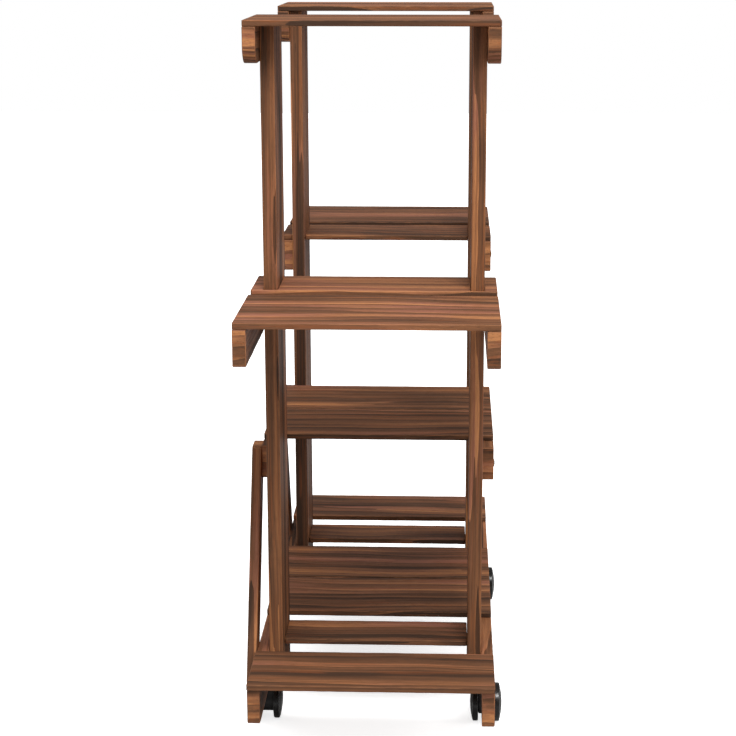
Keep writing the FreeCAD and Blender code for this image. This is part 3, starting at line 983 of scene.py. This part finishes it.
    def cleats(self) -> None:
        """Four small blocks behind the bottom rails, under the ends of the narrow boards."""
        node = "board_cleats"
        low, high = node_box(node)
        solid: Solid | None = None
        for direction in SIDES.values():
            for end in FACES.values():
                x0, x1 = sorted((high[0] * direction, (high[0] - self.cleat_long) * direction))
                y0, y1 = sorted((high[1] * end, (high[1] - self.cleat_wide) * end))
                corners = [(x0, y0), (x1, y0), (x1, y1), (x0, y1)]
                bar = Bar(Lay.CLEAT, self.outline(corners, [self.corner] * 4), low[2], high[2],
                          self.board_ease)
                block = bar.solid(self.shop.rng, self.cleat_tone)
                solid = block if solid is None else solid.joined(block)
        self.shop.place(solid, "board_cleats_timber", node, "stand", "stained_wood", RAIL_WOOD)

    def build(self) -> None:
        """Makes every wooden piece."""
        self.posts()
        self.rails()
        self.brackets()
        self.boards()
        self.slotted_boards()
        self.braces()
        self.cleats()


@dataclass
class Screws:
    """Domed cross-head screws through the rails and brackets, and nearly flat ones through the braces."""

    shop: Workshop
    head: float = 4.0 * MM
    rise: float = 1.3 * MM
    flat_rise: float = 0.35 * MM
    arm_long: float = 2.1 * MM
    arm_wide: float = 0.5 * MM
    recess: float = 1.0 * MM
    sunk: float = 0.6 * MM
    recess_share: float = 0.8
    rim_rise: float = 0.25
    soft: float = 0.25 * MM
    pitch: float = 36 * MM
    rail_lap: float = 4.5 * MM
    foot_in: float = 15.5 * MM
    foot_up: float = 14.25 * MM
    around: int = 64

    def solid(self, seat: Vector, outwards: int, rise: float) -> Solid:
        """Head whose face is h(r) = 0.25 rise + 0.75 rise (1 - (r / R)^2), less a cross-shaped recess.

        The recess is the greater of two soft-edged bars at right angles, times its depth, which is at
        most 0.8 of the rise, so that it ends over the wood.

        Args:
            seat: where the screw's axis meets the wood.
            outwards: which way along Y the head faces, 1 or -1.
            rise: height of the dome over the wood.

        Returns:
            The closed head, its lower side sunk in the wood.
        """
        cross_rings = np.linspace(0.2, 2.6, 10) * MM
        rim_rings = np.array([3.0, 3.4, 3.7, 3.9]) * MM
        radius = np.concatenate([[0.0], cross_rings, rim_rings, [self.head]])
        turn = self.shop.rng.uniform(0, math.pi)
        angle = np.linspace(0, 2 * math.pi, self.around, endpoint=False)
        x = np.outer(radius, np.cos(angle))
        y = np.outer(radius, np.sin(angle))

        def bar(first: np.ndarray, second: np.ndarray) -> np.ndarray:
            """Soft-edged bar along the first coordinate."""
            length = np.clip((self.arm_long - np.abs(first)) / self.soft + 0.5, 0, 1)
            width = np.clip((self.arm_wide - np.abs(second)) / self.soft + 0.5, 0, 1)
            return length * width

        cross = np.maximum(bar(x, y), bar(y, x))
        dome = rise * (self.rim_rise + (1 - self.rim_rise) * (1 - (radius / self.head) ** 2))
        face = dome[:, None] - min(self.recess, self.recess_share * rise) * cross
        rings = face[::-1]
        under = np.full((1, self.around), -self.sunk)
        heights = np.concatenate([under, under, rings])
        radii = np.concatenate([[0.0, self.head], radius[::-1]])
        return turned_solid(radii, heights, seat, Vector((0, outwards, 0)), self.around, turn)

    def fix(self, name: str, x: float, z: float, y: float, outwards: int, rise: float) -> None:
        """Drives one screw."""
        seat = Vector((x, y, z))
        self.shop.place(self.solid(seat, outwards, rise), name, None, "stand", "steel", BRONZED_SCREW)

    def build(self) -> None:
        """Drives two screws through each rail and bracket into each post, and the braces' four."""
        for side, direction in SIDES.items():
            for face, outwards in FACES.items():
                post_low, post_high = node_box(f"post_{side}_{face}")
                middle = (post_low[0] + post_high[0]) / 2
                joints = {"bottom": f"bottom_rail_{face}", "upper": f"upper_rail_{side}_{face}",
                          "top": f"top_bracket_{side}_{face}"}
                for tier, node in joints.items():
                    low, high = node_box(node)
                    y = max(low[1], high[1], key=abs)
                    z = (low[2] + high[2]) / 2
                    for place, shift in (("near", -self.pitch / 2), ("far", self.pitch / 2)):
                        self.fix(f"screw_{tier}_{side}_{face}_{place}", middle + direction * shift, z, y,
                                 outwards, self.rise)
            rail_low, rail_high = node_box("middle_rail_front")
            x = direction * (rail_high[0] - self.rail_lap)
            z = (rail_low[2] + rail_high[2]) / 2
            self.fix(f"screw_middle_{side}_front", x, z, rail_low[1], -1, self.rise)
            brace_low, brace_high = node_box(f"brace_{side}")
            self.fix(f"screw_brace_{side}_top", x, z, brace_high[1], 1, self.flat_rise)
            foot_x = direction * (max(abs(brace_low[0]), abs(brace_high[0])) - self.foot_in)
            self.fix(f"screw_brace_{side}_foot", foot_x, brace_low[2] + self.foot_up, brace_high[1], 1,
                     self.flat_rise)


@dataclass
class Casters:
    """Four twin-wheel casters: a body, a turned stem and two wheel discs on each."""

    shop: Workshop
    joints: dict[str, dict[str, Any]]
    nodes: dict[str, bpy.types.Object]
    wheel_radius: float = 19.6 * MM
    disc: float = 8.2 * MM
    dome: float = 2.6 * MM
    shoulder_round: float = 0.9 * MM
    bore: float = 2.05 * MM
    bore_deep: float = 6.0 * MM
    hub: float = 5.6 * MM
    face_ring: float = 13.6 * MM
    groove_wide: float = 0.7 * MM
    groove_deep: float = 0.5 * MM
    recess_inside: float = 6.4 * MM
    recess_outside: float = 16.4 * MM
    recess_deep: float = 1.6 * MM
    hood_belly: float = 12.2 * MM
    hood_shoulder: float = 10.2 * MM
    hood_chin: float = 17.0 * MM
    hood_ease: float = 1.5 * MM
    cowl_rise: float = 3.0 * MM
    stem_flange: float = 6.0 * MM
    stem_pin: float = 4.0 * MM
    stem_screw: float = 3.0 * MM
    flange_thick: float = 2.6 * MM
    recess_slope: float = 0.4 * MM
    crown: float = 0.1 * MM
    innermost_ring: float = 0.6 * MM
    face_rings: int = 64
    belly_degrees: tuple[float, float] = (205.0, 395.0)
    cowl_lean: tuple[float, float] = (0.8, 0.6)
    around: int = 72

    def wheel_profile(self) -> np.ndarray:
        """Half section of a disc as (radius, height), from the bore's end to the middle of its face.

        The face is part of a ball of radius (q^2 + d^2) / (2 d), q the dome's rim radius and d its rise,
        less a groove g cos^2 round the hub and another round the face. The inner side has a ring-shaped
        recess, and the tread is crowned by a tenth of a millimetre.
        """
        rim = self.wheel_radius - self.shoulder_round
        shoulder = self.disc - self.dome
        guard = 0.25 * MM
        inner_corners = np.array([
            [0.0, self.bore_deep], [self.bore, self.bore_deep], [self.bore, 0.0],
            [self.recess_inside, 0.0], [self.recess_inside + self.recess_slope, self.recess_deep],
            [self.recess_outside, self.recess_deep], [self.recess_outside + self.recess_slope, 0.0],
            [self.wheel_radius - self.crown, 0.0],
            [self.wheel_radius, (shoulder - self.shoulder_round) / 2],
            [self.wheel_radius - self.crown, shoulder - self.shoulder_round / 2],
            [rim, shoulder],
        ])
        corner_radii = [0, 0.3, 0.3, 0.4, 0.4, 0.4, 0.4, 0.8, 8.0, 0.8, 0]
        inner = rounded_path(inner_corners, [r * MM for r in corner_radii], False, 4 * MM, guard, 4)
        ball = (rim ** 2 + self.dome ** 2) / (2 * self.dome)
        radius = np.concatenate([np.linspace(rim, self.innermost_ring, self.face_rings)[1:], [0.0]])
        height = self.disc - ball + np.sqrt(ball ** 2 - radius ** 2)
        for ring in (self.hub, self.face_ring):
            near = np.clip((radius - ring) / self.groove_wide, -1, 1)
            height = height - self.groove_deep * np.cos(near * math.pi / 2) ** 2
        return np.concatenate([inner, np.stack([radius, height], 1)])

    def wheel(self, place: str, which: str) -> None:
        """Makes one wheel disc on its own body."""
        node = f"caster_{which}_wheel_{place}"
        low, high = node_box(node)
        axle = Vector(self.joints[f"roll_{which}_{place}"]["pos_m"])
        outwards = 1 if (low[1] + high[1]) / 2 > axle.y else -1
        flat_side = low[1] if outwards > 0 else high[1]
        profile = self.wheel_profile()
        seat = Vector((axle.x, flat_side, axle.z))
        solid = turned_solid(profile[:, 0], profile[:, 1], seat, Vector((0, outwards, 0)), self.around)
        self.shop.place(solid, node + "_disc", node, f"{which}_wheel_{place}", "wheel_plastic", WHEEL_PLASTIC)

    def hood(self, place: str) -> None:
        """Makes one caster body: a belly round the axle, a bowed cowl over it and the swivel boss."""
        node = f"caster_hood_{place}"
        low, high = node_box(node)
        swivel = Vector(self.joints[f"swivel_{place}"]["pos_m"])
        axle = Vector(self.joints[f"roll_outer_{place}"]["pos_m"])
        trail = abs(axle.x - swivel.x)
        direction = 1 if axle.x > swivel.x else -1
        top = high[2]
        belly = arc((trail, axle.z), self.hood_belly, *self.belly_degrees, 24)
        crest = np.array([self.hood_shoulder, top])
        bow = np.array(self.cowl_lean) * self.cowl_rise
        cowl = bowed_line(belly[-1], crest, bow, 10)[1:-1]
        boss_corners = np.array([cowl[-1], crest, (-self.hood_shoulder, top),
                                 (-self.hood_shoulder, top - self.hood_chin), belly[0]])
        boss_radii = [0, 1.5 * MM, 1.5 * MM, 2.0 * MM, 0]
        boss = rounded_path(boss_corners, boss_radii, False, 5 * MM, 0.35 * MM, 5)
        outline = np.concatenate([belly, cowl, boss[1:-1]])
        outline[:, 0] = swivel.x + direction * outline[:, 0]
        bar = Bar(Lay.RAIL, outline, low[1], high[1], self.hood_ease, facets=5)
        solid = bar.solid(np.random.default_rng(1), 0.0)
        self.shop.place(solid, node + "_shell", node, f"caster_{place}", "caster_body_plastic", HOOD_PLASTIC)

    def stem(self, place: str) -> None:
        """Makes one stem: plain pin, round flange with a turned rim, and screw up into the rail."""
        node = f"caster_stem_{place}"
        low, high = node_box(node)
        swivel = Vector(self.joints[f"swivel_{place}"]["pos_m"])
        rail_under = node_box("bottom_rail_front")[0][2]
        corners = np.array([
            [0.0, low[2]], [self.stem_pin, low[2]], [self.stem_pin, rail_under - self.flange_thick],
            [self.stem_flange, rail_under - self.flange_thick], [self.stem_flange, rail_under],
            [self.stem_screw, rail_under], [self.stem_screw, high[2]], [0.0, high[2]],
        ])
        radii = [r * MM for r in (0, 0.8, 0.2, 0.6, 0.3, 0.2, 0.6, 0)]
        profile = rounded_path(corners, radii, False, 6 * MM, 0.2 * MM, 4)
        seat = Vector((swivel.x, swivel.y, 0))
        solid = turned_solid(profile[:, 0], profile[:, 1], seat, Vector((0, 0, 1)), self.around)
        self.shop.place(solid, node + "_turned", node, "stand", "steel", PLATED_STEEL)

    def build(self) -> None:
        """Makes the four casters and dresses the axles, whose CAD shape stays."""
        for side in SIDES:
            for face in FACES:
                place = f"{side}_{face}"
                self.stem(place)
                self.hood(place)
                for which in ("outer", "inner"):
                    self.wheel(place, which)
                self.shop.rack.dress(self.nodes[f"caster_axle_{place}"], PLATED_STEEL)


# ---- the studio ----------------------------------------------------------------------------------
@dataclass(frozen=True)
class SoftBox:
    """A square area light aimed at a point."""

    name: str
    place: tuple[float, float, float]
    target: tuple[float, float, float]
    size: float
    power: float

    def build(self) -> None:
        """Hangs the light."""
        light = bpy.data.lights.new(self.name, "AREA")
        light.shape = "SQUARE"
        light.size = self.size
        light.energy = self.power
        lamp = bpy.data.objects.new(self.name, light)
        lamp.location = self.place
        aim = Vector(self.target) - Vector(self.place)
        lamp.rotation_euler = aim.to_track_quat("-Z", "Y").to_euler()
        bpy.context.scene.collection.objects.link(lamp)


@dataclass
class Studio:
    """White floor, white surroundings, soft boxes and the camera."""

    floor_size: float = 12.0
    zenith_light: float = 1.15
    horizon_light: float = 0.5
    gloss_share: float = 0.25
    floor_bounce: float = 0.42
    floor_glow: float = 0.72
    floor_white: float = 0.95
    floor_rough: tuple[float, float] = (0.6, 0.75)
    floor_mottle: Pattern = Pattern(2, 2, 2)
    camera_place: tuple[float, float, float] = (-1.7984, -0.07565, 0.79525)
    pitch_down: float = 0.2135
    yaw: float = 0.0328
    lens: float = 82.9
    sensor: float = 36.0
    shift_x: float = -0.04
    shift_y: float = -0.087
    lights: tuple[SoftBox, ...] = (
        SoftBox("key_box", (-1.65, -0.35, 2.8), (-0.1, 0, 0.3), 0.9, 56),
        SoftBox("side_box", (-1.2, -2.6, 1.5), (0, 0, 0.3), 0.8, 14),
        SoftBox("back_box", (2.0, 2.4, 2.2), (0, 0, 0.3), 1.6, 14),
    )

    def floor(self) -> None:
        """Plain white floor: bright to the camera, with soft shadows, and duller as a reflector."""
        half = self.floor_size / 2
        corners = [(-half, -half, 0), (half, -half, 0), (half, half, 0), (-half, half, 0)]
        mesh = bpy.data.meshes.new("studio_floor")
        mesh.from_pydata(corners, [], [(0, 1, 2, 3)])
        ground = bpy.data.objects.new("studio_floor", mesh)
        bpy.context.scene.collection.objects.link(ground)
        material, g, shader = new_material("studio_white")
        place = g.node("TexCoord").outputs["Object"]
        g.feed(shader.inputs["Roughness"], g.span(g.noise(place, self.floor_mottle), 0, 1, *self.floor_rough))
        seen = g.node("LightPath").outputs["Is Camera Ray"]
        grey = g.span(seen, 0, 1, self.floor_bounce, self.floor_white)
        g.feed(shader.inputs["Base Color"], g.node("CombineColor", {0: grey, 1: grey, 2: grey}).outputs[0])
        g.feed(shader.inputs["Emission Strength"], g.times(seen, self.floor_glow))
        shader.inputs["Emission Color"].default_value = (1, 1, 1, 1)
        shader.inputs["Specular IOR Level"].default_value = 0.0
        mesh.materials.append(material)

    def surroundings(self) -> None:
        """White world: full white to the camera; as a light it fades from the zenith to the horizon.

        It is dimmer in reflections, so that the wood stays rich.
        """
        world = bpy.data.worlds.new("studio_world")
        bpy.context.scene.world = world
        world.use_nodes = True
        world.node_tree.nodes.clear()
        g = Graph(world.node_tree)
        rays = g.node("LightPath").outputs
        up = g.node("SeparateXYZ", {0: g.node("TexCoord").outputs["Generated"]}).outputs[2]
        sky = g.span(up, 0, 1, self.horizon_light, self.zenith_light)
        dimmed = g.times(sky, g.span(rays["Is Glossy Ray"], 0, 1, 1.0, self.gloss_share))
        strength = g.math("MAXIMUM", dimmed, rays["Is Camera Ray"])
        glow = g.node("Background", {"Color": (1, 1, 1, 1), "Strength": strength})
        g.node("OutputWorld", {"Surface": glow.outputs[0]})

    def camera(self) -> None:
        """Camera at the photograph's angle.

        It looks along (cos yaw cos pitch, sin yaw cos pitch, -sin pitch), with its right level.
        """
        data = bpy.data.cameras.new("studio_camera")
        data.lens = self.lens
        data.sensor_width = self.sensor
        data.shift_x = self.shift_x
        data.shift_y = self.shift_y
        data.clip_start = 0.05
        data.clip_end = 60
        view = bpy.data.objects.new("studio_camera", data)
        ahead = Vector((math.cos(self.yaw) * math.cos(self.pitch_down),
                        math.sin(self.yaw) * math.cos(self.pitch_down), -math.sin(self.pitch_down)))
        right = Vector((math.sin(self.yaw), -math.cos(self.yaw), 0))
        up = right.cross(ahead)
        turn = Matrix((right, up, -ahead)).transposed().to_4x4()
        view.matrix_world = Matrix.Translation(self.camera_place) @ turn
        bpy.context.scene.collection.objects.link(view)
        bpy.context.scene.camera = view

    def build(self) -> None:
        """Sets up the studio."""
        settings = bpy.context.scene.view_settings
        settings.view_transform = "Standard"
        settings.look = "None"
        self.floor()
        self.surroundings()
        for light in self.lights:
            light.build()
        self.camera()


def main() -> None:
    """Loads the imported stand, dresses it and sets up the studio."""
    logging.basicConfig(level=logging.INFO, format="%(name)s: %(message)s")
    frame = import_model()
    shop = Workshop(FinishRack(), np.random.default_rng(20))
    joints = {joint["name"]: joint for joint in frame["joints"]}
    Timberwork(shop).build()
    Screws(shop).build()
    Casters(shop, joints, frame["nodes"]).build()
    Studio().build()
    bpy.context.view_layer.update()


if __name__ == "__main__":
    main()
